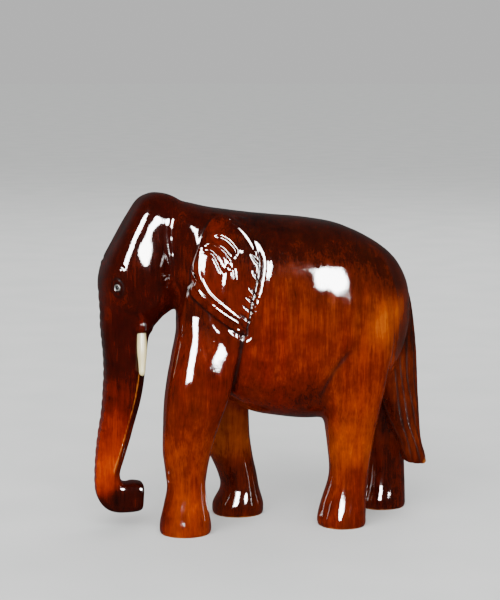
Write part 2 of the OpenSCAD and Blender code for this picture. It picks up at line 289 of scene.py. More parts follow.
# z, middle x, share of the foot's length and width, share of the body's half width that the
# outer side reaches, and how far the leg has come in to the foot's own line
legs = dict(
    frontLeft=(-1, [
        [156, -33, 0.50, 0.60, 0.66, 0], [143, -34.5, 0.92, 0.86, 0.82, 0],
        [130, -34.8, 1.14, 1.02, 0.77, 0], [117, -35, 1.18, 1.08, 0.84, 0],
        [103, -38, 1.20, 1.10, 0.91, 0], [90, -40.6, 1.22, 1.08, 0.96, 0.1],
        [76, -43.4, 1.15, 1.02, 0.97, 0.3], [62, -45.8, 1.04, 0.96, 0.95, 0.6],
        [48, -47.6, 0.92, 0.88, 0.9, 0.9], [34, -48.2, 0.78, 0.80, 0.9, 1],
        [26, -48.2, 0.73, 0.79, 0.9, 1], [17, -48.5, 0.83, 0.87, 0.9, 1],
        [7, -48.7, 0.97, 0.97, 0.9, 1], [2, -48.7, 0.99, 1, 0.9, 1], [0, -48.7, 0.98, 0.99, 0.9, 1]]),
    frontRight=(1, [
        [156, -28, 0.50, 0.60, 0.66, 0], [143, -27, 0.92, 0.86, 0.82, 0],
        [130, -26, 1.14, 1.02, 0.91, 0], [117, -25, 1.18, 1.08, 0.95, 0],
        [103, -24, 1.22, 1.10, 0.96, 0.1], [90, -22.5, 1.22, 1.08, 0.95, 0.3],
        [76, -21, 1.16, 1.02, 0.93, 0.5], [62, -19, 1.06, 0.96, 0.92, 0.7],
        [48, -17, 0.97, 0.90, 0.9, 0.9], [34, -12.8, 0.83, 0.84, 0.9, 1],
        [24, -9.6, 0.76, 0.82, 0.9, 1], [16, -8.2, 0.76, 0.86, 0.9, 1],
        [7, -9.2, 0.98, 1, 0.9, 1], [2, -9.4, 1, 1, 0.9, 1], [0, -9.4, 0.99, 0.99, 0.9, 1]]),
    rearLeft=(-1, [
        [158, 50, 0.60, 0.60, 0.52, 0], [146, 51.5, 1.05, 0.90, 0.74, 0],
        [133, 53.5, 1.28, 1.08, 0.895, 0], [118, 53.5, 1.40, 1.16, 0.92, 0],
        [103, 52, 1.37, 1.16, 0.94, 0.02], [88, 50.5, 1.28, 1.10, 0.96, 0.25],
        [74, 49.8, 1.14, 1.02, 0.95, 0.5], [60, 49.8, 0.98, 0.94, 0.93, 0.75],
        [46, 49.8, 0.85, 0.86, 0.9, 0.95], [34, 49.8, 0.78, 0.82, 0.9, 1],
        [26, 49, 0.79, 0.83, 0.9, 1], [15, 46.6, 0.86, 0.90, 0.9, 1],
        [6, 45.2, 0.92, 1, 0.9, 1], [2, 45.2, 0.93, 1, 0.9, 1], [0, 45.2, 0.92, 0.99, 0.9, 1]]),
    rearRight=(1, [
        [158, 56, 0.60, 0.60, 0.60, 0], [146, 56.5, 1.05, 0.90, 0.76, 0],
        [133, 57, 1.30, 1.08, 0.87, 0], [118, 59, 1.36, 1.16, 0.94, 0],
        [103, 62.5, 1.32, 1.16, 0.96, 0.05], [88, 67, 1.22, 1.10, 0.96, 0.25],
        [74, 72, 1.08, 1.02, 0.95, 0.5], [60, 77, 0.98, 0.94, 0.93, 0.75],
        [46, 80, 0.88, 0.86, 0.9, 0.95], [34, 82, 0.82, 0.82, 0.9, 1],
        [26, 82.8, 0.80, 0.83, 0.9, 1], [15, 82.3, 0.86, 0.90, 0.9, 1],
        [6, 81, 0.95, 1, 0.9, 1], [2, 81, 0.96, 1, 0.9, 1], [0, 81, 0.95, 0.99, 0.9, 1]]))

# inner x, z, outer x, z, share of the tail's width
tail = [
    [68, 153, 75, 157.5, 0.40], [74, 146, 84.7, 149.5, 0.50], [74, 135, 90.5, 137, 0.60],
    [73, 119, 93.8, 120.5, 0.66], [71, 100, 95.8, 100, 0.70], [73, 78, 97, 78, 0.76],
    [79, 58, 98.2, 58, 0.86], [85, 45, 99.4, 45, 0.96], [87.4, 37, 101.6, 36.5, 1],
    [89.4, 32, 102.4, 31, 0.96]]

scaleX = body["length"] / body["gridLength"]
scaleZ = body["height"] / body["gridHeight"]


def bend(v, square):
    # a cosine or sine bent towards a rounded square; 2 leaves a circle
    return np.sign(v) * np.abs(v) ** (2 / square)


def ramped(v, low, high):
    # 0 below low, 1 above high, and a smooth step between
    t = np.clip((v - low) / (high - low), 0, 1)
    return t * t * (3 - 2 * t)


def smoothRows(rows, steps):
    # Catmull-Rom curve through the rows, with so many points for each gap
    rows = np.asarray(rows, float)
    last = len(rows) - 1
    u = np.linspace(0, last, last * steps + 1)
    i = np.minimum(u.astype(int), last - 1)
    t = (u - i)[:, None]
    p0, p1, p2, p3 = rows[np.maximum(i - 1, 0)], rows[i], rows[i + 1], rows[np.minimum(i + 2, last)]
    return 0.5 * (2 * p1 + (p2 - p0) * t + (2 * p0 - 5 * p1 + 4 * p2 - p3) * t ** 2
                  + (3 * p1 - p0 - 3 * p2 + p3) * t ** 3)


def loft(rows):
    # point (u, v) = middle of row u + half its long axis * (c + lean * (1 - c * c)), where c is
    # the bent cosine of v, + half its width * bent sine of v, sideways; a lean moves the widest
    # place towards the first edge and flattens that end
    # rows are [edge, other edge, half width, squareness, lean]
    rows = smoothRows(rows, body["steps"])
    edge, other, half = rows[:, None, 0:3], rows[:, None, 3:6], rows[:, None, 6:7]
    square, lean = rows[:, None, 7:8], rows[:, None, 8:9]
    v = np.linspace(0, 2 * np.pi, body["sides"], endpoint=False)[None, :, None]
    sideways = np.array([0.0, 1.0, 0.0])
    c = bend(np.cos(v), square)
    return ((edge + other) / 2 + (edge - other) / 2 * (c + lean * (1 - c * c))
            + half * bend(np.sin(v), square) * sideways)


def uprightRows(table, halfWidths, square, lean=0.0):
    # rows that lie in the figure's middle plane, from [x, z, other x, other z]
    t = np.asarray(table, float)
    zero = np.zeros(len(t))
    return np.stack([t[:, 0] * scaleX, zero, t[:, 1] * scaleZ, t[:, 2] * scaleX, zero,
                     t[:, 3] * scaleZ, halfWidths, zero + square, zero + lean], 1)


def barrelLoft():
    # rounded-square rings in the middle plane, half width = share * the body's width / 2
    t = np.array(barrel)
    table = t[:, [0, 1, 0, 2]]
    return loft(uprightRows(table, t[:, 3] * body["width"] / 2, body["barrelSquare"]))


def headTable():
    # half width = share * head width / 2, and share * (root + (tip - root) * taper) / 2 on the trunk
    head, trunk = np.array(headRows), np.array(trunkRows)
    headHalf = head[:, 4] * body["headWidth"] / 2
    taper = body["trunkRoot"] + (body["trunkTip"] - body["trunkRoot"]) * trunk[:, 4]
    halves = np.concatenate([headHalf, taper / 2 * trunk[:, 5]])
    square = np.concatenate([np.full(len(head), body["headSquare"]),
                             np.full(len(trunk), body["trunkSquare"])])
    lean = np.concatenate([head[:, 5], np.zeros(len(trunk))])
    return uprightRows(np.vstack([head[:, :4], trunk[:, :4]]), halves, square, lean)


def legTable(side, table):
    # the leg comes down from the flank and swings in to the foot's own line
    t = np.array(table)
    half = t[:, 3] * body["footWidth"] / 2
    hip = t[:, 4] * body["width"] / 2 - half
    y = side * (hip + (body["stance"] / 2 - hip) * t[:, 5])
    x, z, reach = t[:, 1] * scaleX, t[:, 0] * scaleZ, t[:, 2] * body["footLength"] / 2
    same = np.zeros(len(t))
    footSquare, hipSquare = body["legSquare"]
    square = footSquare + (hipSquare - footSquare) * ramped(z, body["legSquareFrom"], body["legSquareTo"])
    rows = np.stack([x - reach, y, z, x + reach, y, z, half, square, same], 1)
    below = rows[-1:].copy()
    below[:, [2, 5]] = body["underFloor"]  # runs on under the floor line, to be cut flat
    return np.vstack([rows, below])


def tailLoft():
    # rounded-square rings, half width = share * the tail's width / 2
    t = np.array(tail)
    return loft(uprightRows(t[:, :4], t[:, 4] * body["tailWidth"] / 2, body["tailSquare"]))


tusk = dict(tenon=9.0, rootAcross=5.4, tipAcross=3.6, tenonAcross=3.6, sheathWall=1.6,
            sheathHeight=17.0, sheathTop=3.0, bow=0.5, rings=60, sides=40)


def tuskLine(node):
    # root, direction and length of the tusk that a CAD node holds
    low, high = boxOf(node)
    side = -1 if low[1] < 0 else 1
    top = np.array([(low[0] + high[0]) / 2, 0.0, high[2]])
    tip = np.array([(low[0] + high[0]) / 2, 0.0, low[2]])
    inner, outer = sorted([abs(low[1]), abs(high[1])])
    top[1] = side * (inner + tusk["tenonAcross"] / 2)
    tip[1] = side * (outer - tusk["tipAcross"] / 2 + 0.1)
    whole = np.linalg.norm(tip - top)
    along = (tip - top) / whole
    return top + along * tusk["tenon"], along, whole - tusk["tenon"]


def around(along):
    # two directions square to a line and to each other
    first = np.cross(along, [1.0, 0.0, 0.0])
    first /= np.linalg.norm(first)
    return first, np.cross(along, first)


def turned(profile, start, along, sides, bow=None):
    # a profile of [distance along, radius] spun round a line; bow moves the line sideways
    profile = np.asarray(profile, float)
    first, second = around(along)
    v = np.linspace(0, 2 * np.pi, sides, endpoint=False)[None, :, None]
    middle = start + profile[:, None, 0:1] * along
    if bow is not None:
        middle = middle + bow[:, None, :]
    return middle + profile[:, None, 1:2] * (np.cos(v) * first + np.sin(v) * second)


def sheathLoft(node):
    # wood round the tusk's root, narrowing upwards into the cheek
    root, along, _ = tuskLine(node)
    wide = tusk["rootAcross"] / 2 + tusk["sheathWall"]
    profile = [[0, wide - 0.9], [-0.8, wide - 0.2], [-2, wide], [-6, wide * 0.97],
               [-tusk["sheathHeight"], tusk["sheathTop"]]]
    return turned(smoothRows(profile, 4), root, along, 32)


def closedShell(grid):
    # vertices and faces of a tube: rings joined by quads, ends closed by fans to their middles
    rows, sides = grid.shape[:2]
    points = np.vstack([grid.reshape(-1, 3), grid[0].mean(0), grid[-1].mean(0)])
    k, i = np.meshgrid(np.arange(rows - 1), np.arange(sides), indexing="ij")
    j = (i + 1) % sides
    quads = np.stack([k * sides + i, k * sides + j, (k + 1) * sides + j, (k + 1) * sides + i], -1)
    ring = np.arange(sides)
    after = (ring + 1) % sides
    first = np.stack([after, ring, np.full(sides, rows * sides)], 1)
    final = np.stack([ring, after, np.full(sides, rows * sides + 1)], 1)
    final[:, :2] += (rows - 1) * sides
    return points, quads.reshape(-1, 4), np.vstack([first, final])


def shellMesh(name, grids):
    # one mesh in metres from several closed tubes
    points, faces, count = [], [], 0
    for grid in grids:
        p, quads, triangles = closedShell(grid)
        points.append(p)
        faces += (quads + count).tolist() + (triangles + count).tolist()
        count += len(p)
    mesh = bpy.data.meshes.new(name)
    mesh.from_pydata((np.vstack(points) * mm).tolist(), [], faces)
    mesh.update()
    return mesh


def newPiece(name, mesh):
    # an object at the origin, unturned and unscaled, with its place in its mesh
    piece = bpy.data.objects.new(name, mesh)
    bpy.context.scene.collection.objects.link(piece)
    return piece


def applyModifiers(piece):
    # the mesh that the modifiers give takes the place of the piece's own
    graph = bpy.context.evaluated_depsgraph_get()
    finished = bpy.data.meshes.new_from_object(piece.evaluated_get(graph))
    old = piece.data
    piece.modifiers.clear()
    piece.data = finished
    bpy.data.meshes.remove(old)


def readPoints(mesh):
    # the vertices as rows of x, y, z in millimetres
    flat = np.empty(len(mesh.vertices) * 3)
    mesh.vertices.foreach_get("co", flat)
    return flat.reshape(-1, 3) / mm


def readNormals(mesh):
    # the outward unit direction at each vertex
    flat = np.empty(len(mesh.vertices) * 3, np.float32)
    mesh.vertex_normals.foreach_get("vector", flat)
    return flat.reshape(-1, 3).astype(float)


def writePoints(mesh, points):
    # rows of x, y, z in millimetres back into the mesh
    mesh.vertices.foreach_set("co", (points * mm).ravel())
    mesh.update()


def readEdges(mesh):
    # the two vertices of each edge
    flat = np.empty(len(mesh.edges) * 2, np.int32)
    mesh.edges.foreach_get("vertices", flat)
    return flat.reshape(-1, 2)


class Links:
    # who touches whom in a mesh, for averaging over neighbours
    def __init__(self, mesh):
        self.count = len(mesh.vertices)
        edges = readEdges(mesh)
        self.here = np.concatenate([edges[:, 0], edges[:, 1]])
        self.there = np.concatenate([edges[:, 1], edges[:, 0]])
        self.number = np.maximum(np.bincount(self.here, minlength=self.count), 1)

    def mean(self, values):
        # average of the neighbours' values, column by column
        columns = values.reshape(self.count, -1)
        summed = [np.bincount(self.here, columns[self.there, c], self.count) / self.number
                  for c in range(columns.shape[1])]
        return np.stack(summed, 1).reshape(values.shape)


def fillHollows(points, mesh, links, rounds, strength):
    # each vertex moves towards its neighbours' middle, but only outwards, so corners
    # between limbs fill up as a gouge leaves them and ridges stay crisp
    for step in range(rounds):
        if step % 6 == 0:
            writePoints(mesh, points)
            normals = readNormals(mesh)
        pull = links.mean(points) - points
        outward = np.maximum((pull * normals).sum(1), 0)[:, None]
        points = points + strength * outward * normals
    return points


def relax(points, links, rounds, weight):
    # Taubin smoothing: a step in and a slightly longer step out, so nothing shrinks
    for step in range(rounds):
        points = points + 0.5 * weight * (links.mean(points) - points)
        points = points - 0.52 * weight * (links.mean(points) - points)
    return points


def wander(points, wavelength, seed, waves=18):
    # slow unevenness: a sum of waves in random directions, about -1 to 1
    random = np.random.default_rng(seed)
    direction = random.normal(size=(waves, 3))
    direction /= np.linalg.norm(direction, axis=1)[:, None]
    pace = 2 * np.pi / (wavelength * random.uniform(0.7, 1.5, waves))
    phase = random.uniform(0, 2 * np.pi, waves)
    total = np.zeros(len(points))
    for d, p, f in zip(direction, pace, phase):
        total += np.sin(points @ d * p + f)
    return total / np.sqrt(waves)


def toLine(line, x, z, steps=6):
    # distance from each place to a smooth line, which side of it (positive on the left
    # of its direction), and how far along it as a share
    path = smoothRows(line, steps)
    a, b = path[:-1], path[1:]
    span = b - a
    long = np.maximum((span ** 2).sum(1), 1e-9)
    dx, dz = x[:, None] - a[None, :, 0], z[:, None] - a[None, :, 1]
    t = np.clip((dx * span[:, 0] + dz * span[:, 1]) / long, 0, 1)
    gap = np.hypot(dx - t * span[:, 0], dz - t * span[:, 1])
    k = gap.argmin(1)
    row = np.arange(len(x))
    side = np.sign(span[k, 0] * dz[row, k] - span[k, 1] * dx[row, k])
    length = np.sqrt(long)
    done = np.concatenate([[0], np.cumsum(length)])
    return gap[row, k], side, (done[k] + t[row, k] * length[k]) / done[-1]


def insideLoop(loop, x, z, steps=6):
    # distance to a closed smooth line, positive inside, by counting crossings
    ring = np.asarray(loop, float)
    ring = np.vstack([ring[-2:], ring, ring[:2]])
    path = smoothRows(ring, steps)[steps * 2:-steps]
    a, b = path, np.roll(path, -1, axis=0)
    gap = np.full(len(x), np.inf)
    inside = np.zeros(len(x), bool)
    for p, q in zip(a, b):
        span = q - p
        t = np.clip(((x - p[0]) * span[0] + (z - p[1]) * span[1]) / max(span @ span, 1e-9), 0, 1)
        gap = np.minimum(gap, np.hypot(x - p[0] - t * span[0], z - p[1] - t * span[1]))
        crosses = (p[1] > z) != (q[1] > z)
        if abs(span[1]) > 1e-9:
            inside ^= crosses & (x < p[0] + (z - p[1]) * span[0] / span[1])
    return np.where(inside, gap, -gap)


# Carving.

# The ear's flap, and two folds that show below and in front of it: x, z of their outlines
ear = dict(
    reach=(-56, 2, 112, 194), base=0.8,
    flap=[(-19, 124), (-23.5, 128.5), (-32, 135.5), (-39, 141.5), (-43, 147.5), (-45, 155),
          (-44.5, 162.5), (-43, 171), (-41, 178), (-36.5, 184), (-30.5, 186), (-25.5, 184.5),
          (-21, 181.5), (-16, 176), (-12.5, 169.5), (-11, 162.5), (-12, 154), (-14, 145),
          (-16, 138), (-17, 131)],
    middle=[(-20, 122.5), (-25.5, 127), (-33, 132), (-40.5, 138.5), (-45.5, 144.5), (-48, 152),
            (-47, 158.5), (-42, 160), (-34, 152), (-26, 140)],
    outer=[(-18.5, 120), (-23, 121.5), (-29.5, 125.5), (-36, 130.5), (-42.5, 136.5), (-49, 143),
           (-47, 149), (-38, 146), (-28, 136), (-20, 128)],
    flapRise=1.3, middleRise=0.8, outerRise=0.9, edge=0.55,
    rimWidth=0.65, rimRise=0.45, rimInset=1.3, foldRimInset=1.1, foldRim=0.8, dish=0.3,
    dishFrom=1.5, dishTo=10, leanUp=0.03, leanUpFrom=146, leanOut=0.09, leanOutFrom=31, leanMost=3.6,
    leanTop=(164, 182), leanTopLoss=0.85,
    arcs=[[(-36.5, 175), (-32.5, 175.8), (-28, 174), (-24.5, 170.5), (-22.8, 167.5), (-23, 164)],
          [(-41.5, 170.5), (-35, 171), (-30.5, 168.8), (-27.5, 165), (-26, 161.5)],
          [(-42.5, 167), (-38.5, 167.8), (-35.5, 165.5), (-32.8, 160), (-31, 155)]],
    arcRise=0.75, arcWidth=1.5, arcSoft=1.8, arcSteep=0.45, underCut=0.5,
    folds=[[(-31.6, 139), (-30.7, 148.5), (-29.5, 156), (-27.6, 162)],
           [(-26.8, 159), (-26, 150)]],
    foldRise=0.6, foldWidth=1.5,
    notches=[[(-16.5, 167), (-11, 159)], [(-15.5, 158), (-11.5, 150.5)], [(-18.5, 149.5), (-12.5, 142)],
             [(-20, 143.5), (-13.5, 137.5)], [(-22, 138.5), (-15, 132.5)], [(-24, 134), (-16.5, 127.5)]],
    notchDepth=0.5, notchWidth=0.6, notchLip=0.15, trenchDepth=1.2, trenchWidth=1.5,
    swellBehind=0.5)

creases = dict(shoulderDepth=1.7, shoulderWidth=1.5, shoulderSwell=0.5, haunchDepth=1.2,
               haunchWidth=3.2, crestRise=0.8, crestWidth=2.0)
# how far behind the front leg's middle the shoulder crease runs, by height
shoulderOffset = [(124, 15), (119, 15), (110, 16), (99, 17), (87, 18), (76, 17)]
# how far ahead of the hind leg's middle its front fold runs
haunchOffset = [(113, -6), (106, -11.5), (100.5, -15.5), (94, -19), (82.5, -23), (70.5, -23.5)]
# the ridge that ends the haunch, behind the hind leg's middle
crestOffset = [(166, 13), (156.5, 17), (141, 20), (122, 20.5), (104, 20.5), (88, 19), (74, 16.5)]

scallops = dict(pitch=5.8, depth=0.42, top=150.0, bottom=20.0, reachTop=3.0, reachLow=6.0)
strands = dict(number=13, depth=0.55, waver=0.5, waverLength=34.0)
eyes = dict(lidX=2.4, lidZ=3.6, lidRise=0.08, lidBand=0.22, hollowDepth=0.12, socket=2.1,
            socketDepth=0.5, cheekOut=3.4)
brow = dict(line=[(-96, 157), (-93, 158.2), (-90, 157.6), (-87, 156)], rise=0.45, width=1.0,
            under=0.35, underGap=2.2)
# the ridge between the forehead and the temple, and the one down the front of each foreleg
temple = dict(line=[(-62.5, 196), (-71.5, 184), (-78, 174), (-83, 165), (-86, 157)], rise=0.3, width=5.0)
neckSwell = dict(x=-57.5, z=185.0, reachX=12.0, reachZ=7.0, rise=1.5)
forearm = dict(offsets=[(128, 4), (112, 1), (96, -3), (82, -6), (70, -8)], rise=0.2, width=3.2)
shank = dict(offsets=[[(80, -3), (60, -2), (40, -2), (28, -3)], [(84, 4), (64, 4), (44, 4), (28, 3)]],
             rise=0.35, width=1.8)
trunkEdge = dict(bevel=1.1, reach=4.2, bead=0.2, beadWidth=0.6)
mouth = dict(line=[(-74, 118), (-71, 119), (-69, 121), (-66.5, 125.5)], depth=0.9, width=0.9,
             paintedShadeWidth=1.1)
feet = dict(rimDepth=0.7, nailTurns=(38.0, 72.0, 4.0), nailSpread=15, nailZ=3.5, nailTall=4.6,
            nailRise=0.4)


def legMiddle(name, z):
    # x of the leg's middle at a height, straight between the rows of its table
    t = np.array(legs[name][1])[::-1]
    return np.interp(z, t[:, 0] * scaleZ, t[:, 1] * scaleX)


def lineByLeg(name, offsets):
    # a line that keeps its offset from a leg's middle
    return [(float(legMiddle(name, z)) + dx, z) for z, dx in offsets]


def bell(gap, width):
    # 1 on the line, falling as exp(-(gap / width) squared)
    return np.exp(-(gap / width) ** 2)


def nearLine(line, x, z, fadeIn, fadeOut):
    # distance to a line, which side of it, and a weight that fades in and out over its ends
    gap, side, share = toLine(line, x, z)
    return gap, side, ramped(share, 0, fadeIn) * ramped(1 - share, 0, fadeOut)


def carveEar(points, normals, rise, dark):
    # three stepped layers, then rims, crescents and folds added as bells of the distance to
    # their lines, and notches and a trench taken away in the same manner
    x, z = points[:, 0], points[:, 2]
    lowX, highX, lowZ, highZ = ear["reach"]
    near = ((x > lowX) & (x < highX) & (z > lowZ) & (z < highZ) & (np.abs(points[:, 1]) > 18)
            & (normals[:, 1] * np.sign(points[:, 1]) > 0.1))
    x, z = x[near], z[near]
    flap, middle, outer = [insideLoop(ear[key], x, z) for key in ("flap", "middle", "outer")]
    edge = ear["edge"]
    inFlap = ramped(flap, -edge, edge)
    inMiddle = ramped(middle, -edge, edge)
    inOuter = ramped(outer, -edge, edge)
    height = (ear["flapRise"] + ear["middleRise"] + ear["outerRise"]) * inFlap
    height = np.maximum(height, (ear["middleRise"] + ear["outerRise"]) * inMiddle)
    height = np.maximum(height, ear["outerRise"] * inOuter)
    anyEar = np.maximum(np.maximum(flap, middle), outer)
    # raised rim just inside each edge, and a shallow dish within it
    lower = ramped(-(x + 25), -12, 4) * ramped(182 - z, 0, 8)
    behind = ramped(x + z * 0.25, -2, 14)
    fadeBehind = 1 - 0.6 * behind * (1 - ramped(z, 160, 176))
    rim = bell(flap - ear["rimInset"], ear["rimWidth"]) * (0.8 + 0.2 * lower) * fadeBehind
    rim += ear["foldRim"] * bell(middle - ear["foldRimInset"], ear["rimWidth"]) * (1 - inFlap)
    rim += (ear["foldRim"] * bell(outer - ear["foldRimInset"], ear["rimWidth"])
            * (1 - np.maximum(inFlap, inMiddle)))
    height += ear["rimRise"] * rim
    height -= ear["dish"] * ramped(flap, ear["dishFrom"], ear["dishTo"])
    # the flap stands more upright than the shoulder, so its top and front lift away
    upright = ear["leanUp"] * (z - ear["leanUpFrom"]) + ear["leanOut"] * (-x - ear["leanOutFrom"])
    height += (inFlap * np.clip(upright, 0, ear["leanMost"])
               * (1 - ear["leanTopLoss"] * ramped(z, *ear["leanTop"])))
    # crescents near the ear's root: soft on the upper side, steep below
    for line in ear["arcs"]:
        gap, side, fade = nearLine(line, x, z, 0.15, 0.2)
        upper = bell(gap, ear["arcWidth"] * ear["arcSoft"])
        under = bell(gap, ear["arcWidth"] * ear["arcSteep"])
        height += ear["arcRise"] * fade * np.where(side > 0, upper, under)
        height -= ear["underCut"] * fade * np.where(side > 0, 0, bell(gap - 1.4, 0.8))
    for line in ear["folds"]:
        gap, side, fade = nearLine(line, x, z, 0.2, 0.2)
        height += ear["foldRise"] * fade * bell(gap, ear["foldWidth"])
    # painted shade: the notches and the trench round the ear are darkened in the colour
    paintedShade = np.zeros(len(x))
    for line in ear["notches"]:
        gap, side, share = toLine(line, x, z)
        cut = bell(gap, ear["notchWidth"]) * ramped(share, 0.02, 0.5)
        height -= ear["notchDepth"] * cut
        height += ear["notchLip"] * bell(gap - 1.3, 0.8) * (side > 0) * ramped(share, 0.1, 0.5)
        paintedShade = np.maximum(paintedShade, cut)
    # trench round the ear, deepest behind it
    trench = bell(-anyEar - 1.0, ear["trenchWidth"]) * (anyEar < 0.2)
    height -= ear["trenchDepth"] * trench * (0.35 + 0.65 * behind)
    height += ear["swellBehind"] * bell(-anyEar - 5.0, 2.0) * (anyEar < 0) * behind
    paintedShade = np.maximum(paintedShade, bell(-anyEar - 0.5, 1.1) * (anyEar < 0.4))
    rise[near] += height
    dark[near] = np.maximum(dark[near], paintedShade)


def carveCreases(points, normals, rise, dark):
    # every crease and ridge is a bell of the distance to a line that keeps its place on the leg
    for name, (side, table) in legs.items():
        outside = normals[:, 1] * side > 0.05
        near = outside & (points[:, 1] * side > 8) & (points[:, 2] > 60) & (points[:, 2] < 170)
        x, z = points[near, 0], points[near, 2]
        if name.startswith("front"):
            gap, turnSide, fade = nearLine(lineByLeg(name, shoulderOffset), x, z, 0.06, 0.25)
            cut = bell(gap, creases["shoulderWidth"])
            swell = bell(gap - 4.5, 3.5) * (turnSide < 0)
            rise[near] += fade * (creases["shoulderSwell"] * swell - creases["shoulderDepth"] * cut)
            # painted shade along the shoulder crease
            dark[near] = np.maximum(dark[near], fade * bell(gap, 1.5))
            gap, turnSide, fade = nearLine(lineByLeg(name, forearm["offsets"]), x, z, 0.2, 0.3)
            rise[near] += forearm["rise"] * fade * bell(gap, forearm["width"])
            continue
        gap, turnSide, fade = nearLine(lineByLeg(name, haunchOffset), x, z, 0.25, 0.3)
        rise[near] -= fade * creases["haunchDepth"] * bell(gap, creases["haunchWidth"])
        # painted shade along the fold in front of the hind leg
        dark[near] = np.maximum(dark[near], 0.75 * fade * bell(gap, 1.8))
        gap, turnSide, fade = nearLine(lineByLeg(name, crestOffset), x, z, 0.15, 0.3)
        rise[near] += fade * creases["crestRise"] * bell(gap, creases["crestWidth"])
        low = (normals[:, 1] * side > 0.3) & (points[:, 1] * side > 8) & (points[:, 2] < 95)
        for offsets in shank["offsets"]:
            line = lineByLeg(name, offsets)
            gap, turnSide, fade = nearLine(line, points[low, 0], points[low, 2], 0.3, 0.3)
            rise[low] += shank["rise"] * fade * bell(gap, shank["width"])


def carveTrunk(points, normals, rise, dark):
    # scallop depth = depth * mask * (|sin(pi * way along / pitch)| ** 0.7 - 1) down the front edge
    rows = smoothRows(headTable(), 24)
    front, back = place(rows[:, 0:3])[:, [0, 2]], place(rows[:, 3:6])[:, [0, 2]]
    done = np.concatenate([[0], np.cumsum(np.linalg.norm(np.diff(front, axis=0), axis=1))])
    near = (points[:, 0] < -62) & (points[:, 2] < 156)
    x, z = points[near, 0], points[near, 2]
    keep = front[:, 1] < 160
    line, arc = front[keep], done[keep]
    gaps = np.hypot(x[:, None] - line[None, :, 0], z[:, None] - line[None, :, 1])
    k = gaps.argmin(1)
    gap, along = gaps[np.arange(len(x)), k], arc[k]
    lower = ramped(-z, -110, -30)
    reach = scallops["reachTop"] + (scallops["reachLow"] - scallops["reachTop"]) * lower
    mask = (1 - ramped(gap, reach * 0.1, reach)) * ramped(z, scallops["bottom"], scallops["bottom"] + 10)
    mask *= 1 - ramped(z, scallops["top"] - 12, scallops["top"])
    wave = np.abs(np.sin(np.pi * along / scallops["pitch"])) ** 0.7
    rise[near] += scallops["depth"] * mask * (wave - 1)
    # painted shade in the scallop grooves
    dark[near] = np.maximum(dark[near], 0.45 * mask * np.maximum(0, 1 - wave * 2.2))
    # a bevel along the trunk's back corners, with painted shade on the strip behind a thin painted highlight
    # along its edge
    keep = (back[:, 1] > 30) & (back[:, 1] < 108)
    line = back[keep]
    gap = np.hypot(x[:, None] - line[None, :, 0], z[:, None] - line[None, :, 1]).min(1)
    tall = ramped(z, 28, 36) * (1 - ramped(z, 92, 104)) * (np.abs(points[near, 1]) > 2.5)
    past = 1 - ramped(gap, trunkEdge["reach"] - 1.2, trunkEdge["reach"])
    bead = bell(gap - trunkEdge["reach"] - 0.3, trunkEdge["beadWidth"])
    sideways = ramped(np.abs(normals[near, 1]), 0.3, 0.8)
    rise[near] += tall * sideways * (trunkEdge["bead"] * bead
                                     - trunkEdge["bevel"] * np.clip(1 - gap / trunkEdge["reach"], 0, 1))
    # painted shade on the strip behind the edge
    dark[near] = np.maximum(dark[near], 0.85 * tall * past)
    # painted highlight: a thin light line along the bevel's edge, drawn in the wear colour
    trunkEdgeGlint[near] = tall * bead * sideways


def carveTail(points, normals, rise, dark):
    # groove = ((1 + cos(number * angle round the tail + waver)) / 2) cubed
    rows = smoothRows(uprightRows(np.array(tail)[:, :4], 0 * np.array(tail)[:, 4], 2), 12)
    middle = place((rows[:, 0:3] + rows[:, 3:6]) / 2)[:, [0, 2]]
    near = (points[:, 0] > 70) & (points[:, 2] > 28) & (points[:, 2] < 168) & (np.abs(points[:, 1]) < 13)
    x, y, z = points[near].T
    middleX = np.interp(z, middle[::-1, 1], middle[::-1, 0])
    angle = np.arctan2(y, x - middleX)
    waver = strands["waver"] * np.sin(2 * np.pi * z / strands["waverLength"] + 2 * angle)
    groove = (0.5 + 0.5 * np.cos(strands["number"] * angle + waver)) ** 3
    onTail = ramped(x - middleX, -7, -3) * ramped(z, 28, 36) * (1 - ramped(z, 140, 162))
    rise[near] -= strands["depth"] * groove * onTail
    # painted shade in the grooves between the strands
    dark[near] = np.maximum(dark[near], 0.8 * groove * onTail)


def eyeLine(side):
    # centre of the eye's ring, moved out to the cheek, and its outward direction, from the two
    # CAD nodes
    ringLow, ringHigh = boxOf("eye_ring_" + side)
    pupilLow, pupilHigh = boxOf("pupil_" + side)
    ring, pupil = (ringLow + ringHigh) / 2, (pupilLow + pupilHigh) / 2
    out = (ring - pupil) / np.linalg.norm(ring - pupil)
    return ring + [0, np.sign(ring[1]) * eyes["cheekOut"], 0], out


